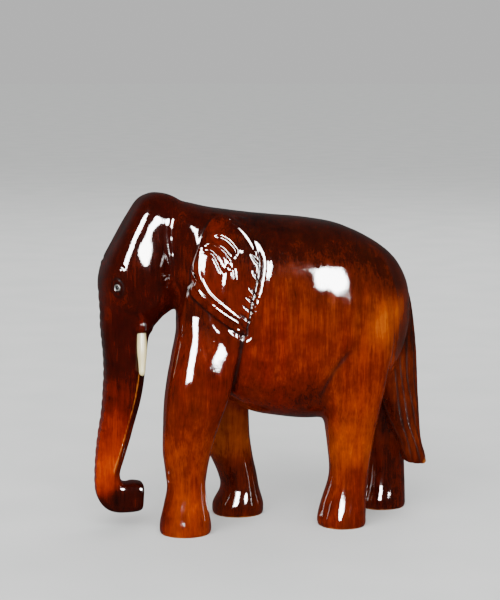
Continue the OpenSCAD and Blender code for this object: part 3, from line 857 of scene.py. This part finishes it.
def carveFace(points, normals, rise, dark):
    # oval = distance from the eye measured in lid widths; lids and lines are bells round theirs
    for side in ("left", "right"):
        centre, out = eyeLine(side)
        offset = points - centre
        near = (np.linalg.norm(offset, axis=1) < 14) & (normals @ out > 0.2)
        offset = offset[near]
        flat = offset - (offset @ out)[:, None] * out
        across = np.hypot(flat[:, 0], flat[:, 1]) / eyes["lidX"]
        oval = np.hypot(across, flat[:, 2] / eyes["lidZ"])
        fromMiddle = np.linalg.norm(flat, axis=1)
        lids = bell(oval - 1.0, eyes["lidBand"])
        hollow = bell(oval - 1.5, 0.25)
        rise[near] += eyes["lidRise"] * lids - eyes["hollowDepth"] * hollow
        outsideSocket = ramped(fromMiddle, eyes["socket"] - 0.5, eyes["socket"] + 0.2)
        rise[near] -= eyes["socketDepth"] * (1 - outsideSocket)
        # painted shade in the hollow round the lids and inside the eye's recessed oval
        dark[near] = np.maximum(dark[near], np.maximum(0.8 * hollow, np.exp(-(oval / 0.95) ** 6)))
        sign = np.sign(centre[1])
        near = (normals[:, 1] * sign > -0.3) & (points[:, 1] * sign > 0) & (points[:, 0] < -30)
        x, z = points[near, 0], points[near, 2]
        gap, turnSide, fade = nearLine(brow["line"], x, z, 0.2, 0.2)
        rise[near] += (brow["rise"] * fade * bell(gap, brow["width"])
                       - brow["under"] * fade * bell(gap - brow["underGap"], 1))
        gap, turnSide, share = toLine(temple["line"], x, z)
        fade = ramped(share, 0.02, 0.25) * ramped(1 - share, 0, 0.25)
        rise[near] += temple["rise"] * fade * bell(gap, temple["width"])
        swell = (((x - neckSwell["x"]) / neckSwell["reachX"]) ** 2
                 + ((z - neckSwell["z"]) / neckSwell["reachZ"]) ** 2)
        rise[near] += neckSwell["rise"] * np.exp(-swell)
        gap, turnSide, share = toLine(mouth["line"], x, z)
        fade = ramped(1 - share, 0, 0.5)
        rise[near] -= mouth["depth"] * fade * bell(gap, mouth["width"])
        # painted shade along the mouth line
        dark[near] = np.maximum(dark[near], fade * bell(gap, mouth["paintedShadeWidth"]))


def carveFeet(points, normals, rise, dark):
    # a rim rounded as exp(-height / depth) at every sole, and three round nails on each hind foot
    z = points[:, 2]
    rise -= (feet["rimDepth"] * np.exp(-np.maximum(z, 0) / feet["rimDepth"]) * (z < 6)
             * (np.abs(normals[:, 2]) < 0.8))
    for name, (side, table) in legs.items():
        if not name.startswith("rear"):
            continue
        middle = np.array([table[-1][1] * scaleX + shiftX, side * body["stance"] / 2])
        near = (z < 14) & (np.hypot(points[:, 0] - middle[0], points[:, 1] - middle[1]) < 24)
        flat = points[near, :2] - middle
        turn = np.degrees(np.arctan2(side * flat[:, 1], -flat[:, 0]))
        for centre in feet["nailTurns"]:
            across = (turn - centre) / feet["nailSpread"]
            nail = np.exp(-(np.hypot(across, (points[near, 2] - feet["nailZ"]) / feet["nailTall"])) ** 4)
            rise[near] += feet["nailRise"] * nail


def place(points):
    # the pattern's stretch onto the frame's box
    return np.stack([points[..., 0] + shiftX, points[..., 1], points[..., 2] * liftZ], -1)


def buildBody():
    # the lofts that make up the block, before they are placed in the frame
    head = loft(headTable())
    tailShell = tailLoft()
    shells = [barrelLoft(), head, tailShell]
    shells += [loft(legTable(side, table)) for side, table in legs.values()]
    return head, tailShell, shells


head, tailShell, shells = buildBody()
shiftX = -(head[..., 0].min() + tailShell[..., 0].max()) / 2
liftZ = body["height"] / head[..., 2].max()
shells = [place(s) for s in shells]
shells += [sheathLoft(node) for node in ("tusk_left", "tusk_right")]


lip = dict(place=(-71.5, 0.0, 120.8), half=10.5, radius=4.4, sections=25, sides=32)


def lipLoft():
    # the jaw ends in a blunt rounded roll across the mouth: a rounded bar lying along Y
    share = np.linspace(-1, 1, lip["sections"])
    radius = lip["radius"] * np.maximum(1 - np.abs(share) ** 3.5, 0.02) ** 0.5
    start = np.array(lip["place"])
    profile = np.stack([share * lip["half"], radius], 1)
    return turned(profile, start, np.array([0.0, 1.0, 0.0]), lip["sides"])


shells += [lipLoft()]


# share of the height, how far forward its front and back edges lie as shares, and how far out
# those edges lie as shares of the body's half width
pad = dict(
    rows=[[0.00, 0.56, 0.70, 0.87, 0.90], [0.05, 0.42, 0.78, 0.88, 0.91],
          [0.14, 0.23, 0.84, 0.88, 0.92], [0.26, 0.06, 0.90, 0.87, 0.92],
          [0.40, 0.00, 0.96, 0.85, 0.92], [0.55, 0.02, 1.00, 0.82, 0.90],
          [0.70, 0.08, 0.99, 0.77, 0.85], [0.83, 0.14, 0.91, 0.68, 0.76],
          [0.93, 0.20, 0.79, 0.56, 0.64], [1.00, 0.32, 0.64, 0.46, 0.52]],
    bury=3.0, tall=64.0, wide=36.0, low=121, backEdge=-9, square=3.4)


def earPad(side):
    # a low pillow under the ear that carries it from the shoulder over the neck: each row runs
    # from the front edge to the back edge, and is as thick as the ear's base and what is buried
    t = np.array(pad["rows"])
    z = pad["low"] * scaleZ + t[:, 0] * pad["tall"]
    backEdge = pad["backEdge"] * scaleX
    out = (ear["base"] - pad["bury"]) / 2
    half = np.full(len(t), (ear["base"] + pad["bury"]) / 2)
    frontX, backX = [backEdge - pad["wide"] * (1 - t[:, c]) for c in (1, 2)]
    frontY, backY = [side * (t[:, c] * body["width"] / 2 + out) for c in (3, 4)]
    return loft(np.stack([frontX, frontY, z, backX, backY, z, half,
                          np.full(len(t), pad["square"]), np.zeros(len(t))], 1))


shells += [place(earPad(-1)), place(earPad(1))]
carved = newPiece("carvedBody", shellMesh("carvedBody", shells))
remesh = carved.modifiers.new("remesh", "REMESH")
remesh.mode = "VOXEL"
remesh.voxel_size = body["voxel"] * mm
applyModifiers(carved)
print("body remeshed", len(carved.data.vertices))

# rounds of smoothing before and after the hollows are filled, and after the mesh is refined
clearing = dict(before=4, fill=42, fillStrength=0.5, after=6, refined=3)
links = Links(carved.data)
points = readPoints(carved.data)
even = np.ones((len(points), 1))
points = relax(points, links, clearing["before"], even)
points = fillHollows(points, carved.data, links, clearing["fill"], clearing["fillStrength"])
points = relax(points, links, clearing["after"], even)


def softenNeck(points, links):
    # the head runs into the shoulders without an edge
    x, z = points[:, 0], points[:, 2]
    weight = ramped(x, -74, -58) * (1 - ramped(x, -42, -30)) * ramped(z, 124, 140)
    weight *= 1 - 0.6 * ramped(z, 184, 196)
    for step in range(70):
        points = points + 0.6 * weight[:, None] * (links.mean(points) - points)
    return points


points = softenNeck(points, links)
writePoints(carved.data, points)
print("hollows filled")


def refine(mesh, wanted):
    # splits every edge of the wanted faces once, so that fine carving has room
    work = bmesh.new()
    work.from_mesh(mesh)
    work.verts.ensure_lookup_table()
    picked = [e for e in work.edges if wanted[e.verts[0].index] and wanted[e.verts[1].index]]
    bmesh.ops.subdivide_edges(work, edges=picked, cuts=1, use_grid_fill=True)
    work.to_mesh(mesh)
    work.free()


def fineRegions(points, normals):
    # the ear's side faces and the eye's surroundings
    x, y, z = points.T
    earArea = (x > -51) & (x < -8) & (z > 117) & (z < 189) & (np.abs(y) > 20)
    earArea &= np.abs(normals[:, 1]) > 0.15
    eyeArea = (x < -80) & (z > 138) & (z < 162)
    return earArea | eyeArea


refine(carved.data, fineRegions(points, readNormals(carved.data)))
links = Links(carved.data)
points = readPoints(carved.data)
points = relax(points, links, clearing["refined"], np.ones((len(points), 1)))
writePoints(carved.data, points)
normals = readNormals(carved.data)
handWork = dict(fineRise=0.04, fineLength=10, slowRise=0.14, slowLength=30)
rise = (handWork["fineRise"] * wander(points, handWork["fineLength"], 3)
        + handWork["slowRise"] * wander(points, handWork["slowLength"], 5))
dark, trunkEdgeGlint = np.zeros((2, len(points)))
for carve in (carveEar, carveCreases, carveTrunk, carveTail, carveFace, carveFeet):
    carve(points, normals, rise, dark)
points = points + rise[:, None] * normals
writePoints(carved.data, points)
print("carved", len(points))


# Colour by place.

# x, z, radius, warmth (0 dark stain, 1 bright orange), redness (0 brown, 1 red)
toneSpots = [
    (-75, 165, 22, 0.19, 0.8), (-92, 150, 12, 0.26, 0.9), (-80, 130, 16, 0.22, 0.9),
    (-60, 190, 16, 0.2, 0.8), (-82, 105, 12, 0.16, 0.8), (-85, 80, 12, 0.34, 0.9),
    (-90, 56, 12, 0.62, 1.0), (-94, 36, 9, 0.72, 1.0), (-80, 16, 11, 0.12, 0.7),
    (-30, 155, 16, 0.5, 0.7), (-45, 130, 10, 0.3, 0.6), (-10, 178, 22, 0.10, 0.5),
    (30, 175, 26, 0.14, 0.4), (65, 160, 16, 0.22, 0.3), (15, 145, 22, 0.55, 0.5),
    (45, 140, 20, 0.55, 0.3), (66, 128, 10, 0.82, 0.3), (5, 115, 20, 0.52, 0.8),
    (35, 110, 14, 0.5, 0.6), (0, 80, 18, 0.40, 0.8), (15, 68, 14, 0.25, 0.6), (-42, 105, 16, 0.42, 0.8),
    (-48, 75, 14, 0.45, 0.6), (-48, 50, 12, 0.6, 0.6), (-49, 12, 12, 0.66, 0.6),
    (-14, 55, 14, 0.68, 0.0), (-10, 20, 14, 0.34, 0.4), (50, 85, 16, 0.55, 0.6),
    (50, 55, 14, 0.72, 0.4), (47, 20, 13, 0.48, 0.6), (75, 60, 12, 0.35, 0.4), (82, 25, 12, 0.3, 0.6),
    (88, 120, 10, 0.3, 0.2), (-30, 176, 8, 0.5, 0.8), (90, 80, 10, 0.45, 0.3), (94, 45, 9, 0.45, 0.3),
    (-25, 120, 8, 0.3, 0.6)]


def placeTone(points):
    # each spot counts as a bell of its own radius, and the bells are averaged
    spots = np.array(toneSpots)
    weight = np.exp(-((points[:, None, 0] - spots[:, 0]) ** 2 + (points[:, None, 2] - spots[:, 1]) ** 2)
                    / spots[:, 2] ** 2) + 1e-9
    weight /= weight.sum(1)[:, None]
    return weight @ spots[:, 3], weight @ spots[:, 4]


def putAttribute(mesh, name, values):
    # one number for each vertex, kept in the mesh for the material
    layer = mesh.attributes.new(name, "FLOAT", "POINT")
    layer.data.foreach_set("value", values.astype(np.float32))


def hollowness(points, normals, links, rounds):
    # how far each place lies under the average of its surroundings, in millimetres
    spread = points.copy()
    for step in range(rounds):
        spread = spread + 0.8 * (links.mean(spread) - spread)
    return ((spread - points) * normals).sum(1)


normals = readNormals(carved.data)
deep = hollowness(points, normals, links, 14)
# painted shade: creases, grooves and hollows are darkened in the colour, by the carving's marks and by how
# far the surface lies under its surroundings
paintedShade = np.clip(np.maximum(dark, ramped(deep, 0.2, 0.9)), 0, 1)
warmth, redness = placeTone(points)
z = points[:, 2]
onRim = np.exp(-np.maximum(z, 0) / 1.3) * (z < 12)
tip = np.exp(-(np.hypot(points[:, 0] - bodyHigh[0] + 1.5, z - 32) / 4) ** 2)
# the paler wear colour marks worn sole rims and the tail's worn tip, and is also a painted highlight along
# the trunk's back edge
wearAndGlint = np.clip(onRim + tip + trunkEdgeGlint, 0, 1)
for name, values in (("warmth", warmth), ("redness", redness), ("paintedShade", paintedShade), ("wearAndGlint", wearAndGlint)):
    putAttribute(carved.data, name, values)


def cutSoles(mesh):
    # everything under the floor line is cut away and the feet are closed flat
    work = bmesh.new()
    work.from_mesh(mesh)
    everything = work.verts[:] + work.edges[:] + work.faces[:]
    cut = bmesh.ops.bisect_plane(work, geom=everything, plane_co=(0, 0, 0), plane_no=(0, 0, 1),
                                 clear_inner=True)
    edges = [e for e in cut["geom_cut"] if isinstance(e, bmesh.types.BMEdge)]
    bmesh.ops.holes_fill(work, edges=edges, sides=0)
    bmesh.ops.triangulate(work, faces=work.faces[:])
    work.to_mesh(mesh)
    work.free()


cutSoles(carved.data)
thin = carved.modifiers.new("thin", "DECIMATE")
thin.ratio = min(1.0, body["triangles"] / len(carved.data.polygons))
applyModifiers(carved)
carved.data.polygons.foreach_set("use_smooth", np.ones(len(carved.data.polygons), bool))
print("body finished", len(carved.data.polygons), "triangles")


# Tusks and eyes.

def buildTusk(node, name):
    # profile along the tusk: tenon, a square shoulder, a long swell, a rounded tip
    root, along, length = tuskLine(node)
    rootR, tipR, tenonR = tusk["rootAcross"] / 2, tusk["tipAcross"] / 2, tusk["tenonAcross"] / 2
    t = np.linspace(0, 1, tusk["rings"])
    swell = rootR * 0.93 + 0.35 * np.sin(np.pi * np.clip(t * 1.25, 0, 1))
    taper = swell + (tipR - swell) * ramped(t, 0.35, 1.02)
    tipLong = 3.4
    last = np.clip((t * length - (length - tipLong)) / tipLong, 0, 1)
    radius = np.maximum(taper * np.sqrt(np.maximum(1 - last ** 2.4, 0)), 0.02)
    profile = np.vstack([[[-tusk["tenon"] + 0.2, tenonR - 0.3], [-tusk["tenon"] + 0.6, tenonR],
                          [-0.15, tenonR], [-0.1, rootR * 0.9]],
                         np.stack([t * length, radius], 1)])
    forward = np.array([-1.0, 0.0, 0.0])
    share = np.clip(profile[:, 0:1] / length, 0, 1)
    bow = tusk["bow"] * (share ** 2 - 0.6 * share) * forward
    grid = turned(profile, root, along, tusk["sides"], bow)
    piece = newPiece(name, shellMesh(name, [grid]))
    recalculate(piece.data)
    return piece


def recalculate(mesh):
    # doubles merged, faces turned outwards, shading smooth
    work = bmesh.new()
    work.from_mesh(mesh)
    bmesh.ops.remove_doubles(work, verts=work.verts[:], dist=0.01 * mm)
    bmesh.ops.recalc_face_normals(work, faces=work.faces[:])
    work.to_mesh(mesh)
    work.free()
    mesh.polygons.foreach_set("use_smooth", np.ones(len(mesh.polygons), bool))


eyeRing = dict(outer=2.0, inner=1.15, thick=1.6, lift=0.1, sides=48)
pupil = dict(radius=0.9, long=4.2, dome=0.08, lift=0.1, sides=40)


def buildEyeRing(side, name):
    # a rounded band: its section is an oval carried round the eye's axis
    centre, out = eyeLine(side)
    first, second = around(out)
    v = np.linspace(0, 2 * np.pi, eyeRing["sides"], endpoint=False)[:, None, None]
    w = np.linspace(0, 2 * np.pi, 24, endpoint=False)[None, :, None]
    middle = (eyeRing["outer"] + eyeRing["inner"]) / 2
    reach = middle + (eyeRing["outer"] - eyeRing["inner"]) / 2 * bend(np.cos(w), 2.6)
    depth = eyeRing["thick"] / 2 * bend(np.sin(w), 3.0) + eyeRing["lift"]
    grid = centre + reach * (np.cos(v) * first + np.sin(v) * second) + depth * out
    rows, sides = grid.shape[:2]
    k, i = np.meshgrid(np.arange(rows), np.arange(sides), indexing="ij")
    a, b = (k + 1) % rows, (i + 1) % sides
    quads = np.stack([k * sides + i, k * sides + b, a * sides + b, a * sides + i], -1).reshape(-1, 4)
    mesh = bpy.data.meshes.new(name)
    mesh.from_pydata((grid.reshape(-1, 3) * mm).tolist(), [], quads.tolist())
    recalculate(mesh)
    return newPiece(name, mesh)


def buildPupil(side, name):
    # a peg with a domed head
    ring, out = eyeLine(side)
    # the peg's head lies level with the ring's outer face
    start = ring + out * (eyeRing["thick"] / 2 + pupil["lift"] - pupil["long"])
    angle = np.linspace(0, np.pi / 2, 12)
    cap = np.stack([pupil["long"] + pupil["dome"] * np.sin(angle),
                    np.maximum(pupil["radius"] * np.cos(angle), 0.01)], 1)
    profile = np.vstack([[[0, 0.6], [0.2, pupil["radius"]]], cap])
    piece = newPiece(name, shellMesh(name, [turned(profile, start, out, pupil["sides"])]))
    recalculate(piece.data)
    return piece


tusks = {side: buildTusk("tusk_" + side, "ivoryTusk_" + side) for side in ("left", "right")}
rings = {side: buildEyeRing(side, "eyeRing_" + side) for side in ("left", "right")}
pupils = {side: buildPupil(side, "eyePupil_" + side) for side in ("left", "right")}
print("tusks and eyes made")


# Finishes.

rosewood = dict(
    hairWidth=0.55, hairLength=9.0, hairs=0.32, bands=0.42, blotchScale=90.0, blotches=0.5, drift=0.8,
    brown=[(0.0, "120200"), (0.25, "2b0900"), (0.5, "561b01"), (0.75, "863803"), (1.0, "b4640c")],
    red=[(0.0, "150100"), (0.25, "340500"), (0.5, "641000"), (0.75, "942801"), (1.0, "c24c08")],
    # the paler colour serves worn rims and a painted highlight along the trunk's back edge; the near-black
    # one is painted shade in creases, grooves and hollows, which also dulls the lacquer there
    wornAndGlint="b86c28", wornAndGlintMost=0.75, paintedShade="0c0201", paintedShadeShare=0.85, gloss=(0.03, 0.075),
    paintedShadeDull=0.14, swellTall=0.00002, rippleTall=0.00002, hairTall=0.000006, nibTall=0.00014)


def offCentre(tree, value, amount):
    # (value - 0.5) * amount
    return maths(tree, "MULTIPLY", maths(tree, "SUBTRACT", value, 0.5), amount)


def rosewoodMaterial():
    # level = warmth + hairs + bands + blotches picks a place on a brown and a red ramp, redness
    # mixes the two, and a paler wear colour, which is also a painted highlight, and painted shade are laid
    # over them
    material, tree, shader, spot = newMaterial(
        "lacqueredRosewood", {"IOR": 1.52, "Coat Weight": 0.0})
    grain = useGroup(tree, grainGroup, {"Position": spot, "Hair Width": rosewood["hairWidth"],
                                        "Hair Length": rosewood["hairLength"]})
    finish = useGroup(tree, unevenGroup, {"Position": spot, "Swell Size": 4.0, "Ripple Size": 0.9,
                                          "Nib Spacing": 4.5, "Nib Amount": 1.0})
    blotches = addNode(tree, "ShaderNodeTexNoise",
                       {"Vector": spot, "Scale": rosewood["blotchScale"], "Detail": 5.0,
                        "Roughness": 0.6}).outputs["Fac"]
    hairs = offCentre(tree, grain["Hairs"], rosewood["hairs"])
    bands = offCentre(tree, grain["Bands"], rosewood["bands"])
    blots = offCentre(tree, blotches, rosewood["blotches"])
    level = maths(tree, "ADD", maths(tree, "ADD", attribute(tree, "warmth"), hairs),
                  maths(tree, "ADD", bands, blots), True)
    drift = offCentre(tree, grain["Drift"], rosewood["drift"])
    redMix = maths(tree, "ADD", attribute(tree, "redness"), drift, True)
    wood = blendColours(tree, redMix, ramp(tree, level, rosewood["brown"]),
                        ramp(tree, level, rosewood["red"]))
    # paler colour on worn rims and the tail's tip, and as a painted highlight along the trunk's back edge
    wornAndGlintMix = maths(tree, "ADD", attribute(tree, "wearAndGlint"), maths(tree, "SUBTRACT", blotches, 0.95))
    wornAndGlintMix = addNode(tree, "ShaderNodeMapRange", {"Value": wornAndGlintMix, "From Min": 0.1, "From Max": 0.45,
                                                  "To Max": rosewood["wornAndGlintMost"]}).outputs[0]
    wornAndGlint = blendColours(tree, wornAndGlintMix, wood, srgb(rosewood["wornAndGlint"]))
    # near-black painted shade in creases, grooves and hollows
    paintedShade = attribute(tree, "paintedShade")
    deep = maths(tree, "MULTIPLY", paintedShade, rosewood["paintedShadeShare"])
    final = blendColours(tree, deep, wornAndGlint, srgb(rosewood["paintedShade"]))
    tree.links.new(final, shader.inputs["Base Color"])
    rough = addNode(tree, "ShaderNodeMapRange",
                    {"Value": grain["Bands"], "From Min": 0.3, "From Max": 0.7,
                     "To Min": rosewood["gloss"][0], "To Max": rosewood["gloss"][1]}).outputs[0]
    dull = maths(tree, "MULTIPLY", paintedShade, rosewood["paintedShadeDull"])
    tree.links.new(maths(tree, "ADD", rough, dull), shader.inputs["Roughness"])
    addBump(tree, shader, [(finish["Swell"], rosewood["swellTall"]),
                           (finish["Ripple"], rosewood["rippleTall"]),
                           (grain["Hairs"], rosewood["hairTall"]), (finish["Nibs"], rosewood["nibTall"])])
    return material


tuskLook = dict(stops=[(0.3, "c9b070"), (0.5, "ecdc9e"), (0.7, "f6ecba")], hairs=0.4, bands=0.6,
                gloss=(0.25, 0.45), tall=0.00002)


def setFinish(tree, shader, colour, unevenness, gloss):
    # base colour, and a roughness that runs between two ends with the unevenness
    tree.links.new(colour, shader.inputs["Base Color"])
    rough = addNode(tree, "ShaderNodeMapRange",
                    {"Value": unevenness, "To Min": gloss[0], "To Max": gloss[1]})
    tree.links.new(rough.outputs[0], shader.inputs["Roughness"])


def tuskMaterial():
    # colour by the share hairs * 0.4 + bands * 0.6 along a cream ramp
    material, tree, shader, spot = newMaterial("tuskWhite", {"IOR": 1.5})
    grain = useGroup(tree, grainGroup, {"Position": spot, "Hair Width": 0.5, "Hair Length": 14.0})
    finish = useGroup(tree, unevenGroup, {"Position": spot, "Swell Size": 3.0, "Ripple Size": 0.8,
                                          "Nib Spacing": 5.0, "Nib Amount": 0.4})
    level = maths(tree, "ADD", maths(tree, "MULTIPLY", grain["Hairs"], tuskLook["hairs"]),
                  maths(tree, "MULTIPLY", grain["Bands"], tuskLook["bands"]))
    setFinish(tree, shader, ramp(tree, level, tuskLook["stops"]), finish["Swell"], tuskLook["gloss"])
    addBump(tree, shader, [(finish["Ripple"], tuskLook["tall"]), (grain["Hairs"], tuskLook["tall"])])
    return material


ringLook = dict(name="eyeRingGrey", stops=[(0.3, "35332e"), (0.7, "73706a")], swell=1.2, ripple=0.4,
                nibs=0.5, gloss=(0.34, 0.5), tall=0.00002)
pupilLook = dict(name="pupilBlack", stops=[(0.3, "050403"), (0.7, "15110f")], swell=1.0, ripple=0.3,
                 nibs=0.3, gloss=(0.22, 0.34), tall=0.00001)


def inlayMaterial(look):
    # colour follows the slow swells of the surface, and roughness its ripples
    material, tree, shader, spot = newMaterial(look["name"], {"IOR": 1.5})
    finish = useGroup(tree, unevenGroup, {"Position": spot, "Swell Size": look["swell"],
                                          "Ripple Size": look["ripple"], "Nib Spacing": 2.0,
                                          "Nib Amount": look["nibs"]})
    setFinish(tree, shader, ramp(tree, finish["Swell"], look["stops"]), finish["Ripple"], look["gloss"])
    addBump(tree, shader, [(finish["Ripple"], look["tall"])])
    return material


floorLook = dict(stops=[(0.3, "d3d5d4"), (0.7, "d9dad9")], gloss=(0.7, 0.8), sides=96)


def floorMaterial():
    # pale and matt, with a slow drift of colour
    material, tree, shader, spot = newMaterial("paleFloor", {"Specular IOR Level": 0.0})
    finish = useGroup(tree, unevenGroup, {"Position": spot, "Swell Size": 60.0, "Ripple Size": 6.0,
                                          "Nib Spacing": 40.0, "Nib Amount": 0.0})
    setFinish(tree, shader, ramp(tree, finish["Swell"], floorLook["stops"]), finish["Ripple"],
              floorLook["gloss"])
    return material


def addFloor():
    # a disc far wider than the view, as rings of points round the origin
    sides = floorLook["sides"]
    radius = np.concatenate([np.linspace(0.05, 1.0, 12), np.linspace(1.3, 12.0, 12)])
    turn = np.linspace(0, 2 * np.pi, sides, endpoint=False)
    ringPoints = np.stack([radius[:, None] * np.cos(turn), radius[:, None] * np.sin(turn),
                           np.zeros((len(radius), len(turn)))], -1).reshape(-1, 3)
    pointsAll = np.vstack([ringPoints, [[0, 0, 0]]])
    k, i = np.meshgrid(np.arange(len(radius) - 1), np.arange(sides), indexing="ij")
    j = (i + 1) % sides
    quads = np.stack([k * sides + i, (k + 1) * sides + i, (k + 1) * sides + j, k * sides + j], -1)
    spokes = np.arange(sides)
    middle = np.stack([spokes, (spokes + 1) % sides, np.full(sides, len(ringPoints))], 1)
    mesh = bpy.data.meshes.new("floor")
    mesh.from_pydata(pointsAll.tolist(), [], quads.reshape(-1, 4).tolist() + middle.tolist())
    floor = newPiece("floor", mesh)
    floor.data.materials.append(floorMaterial())
    floor.visible_glossy = False


studio = dict(soft=0.9, reflected=0.07, floorShare=0.665)


def addWorld():
    # as bright as the far floor where the camera sees it, an even soft light on rough
    # surfaces, and a dim room in the lacquer's reflections
    world = bpy.data.worlds.new("studio")
    bpy.context.scene.world = world
    world.use_nodes = True
    tree = world.node_tree
    tree.nodes.clear()
    rays = tree.nodes.new("ShaderNodeLightPath").outputs
    soft, reflected, floorShare = studio["soft"], studio["reflected"], studio["floorShare"]
    seen = maths(tree, "MULTIPLY", rays["Is Camera Ray"], soft * floorShare - soft)
    mirrored = maths(tree, "MULTIPLY", rays["Is Glossy Ray"], reflected - soft)
    strength = maths(tree, "ADD", maths(tree, "ADD", seen, mirrored), soft)
    back = addNode(tree, "ShaderNodeBackground", {"Color": (1.0, 1.0, 1.0, 1.0), "Strength": strength})
    end = tree.nodes.new("ShaderNodeOutputWorld")
    tree.links.new(back.outputs[0], end.inputs["Surface"])


addFloor()
addWorld()


def finishPiece(piece, material, node):
    # material on, and the CAD node that the piece stands for
    piece.data.materials.clear()
    piece.data.materials.append(material)
    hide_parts(node)
    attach(piece, "root")


ivory, grey, black = tuskMaterial(), inlayMaterial(ringLook), inlayMaterial(pupilLook)
finishPiece(carved, rosewoodMaterial(), "body")
for side in ("left", "right"):
    finishPiece(tusks[side], ivory, "tusk_" + side)
    finishPiece(rings[side], grey, "eye_ring_" + side)
    finishPiece(pupils[side], black, "pupil_" + side)
print("finishes on")
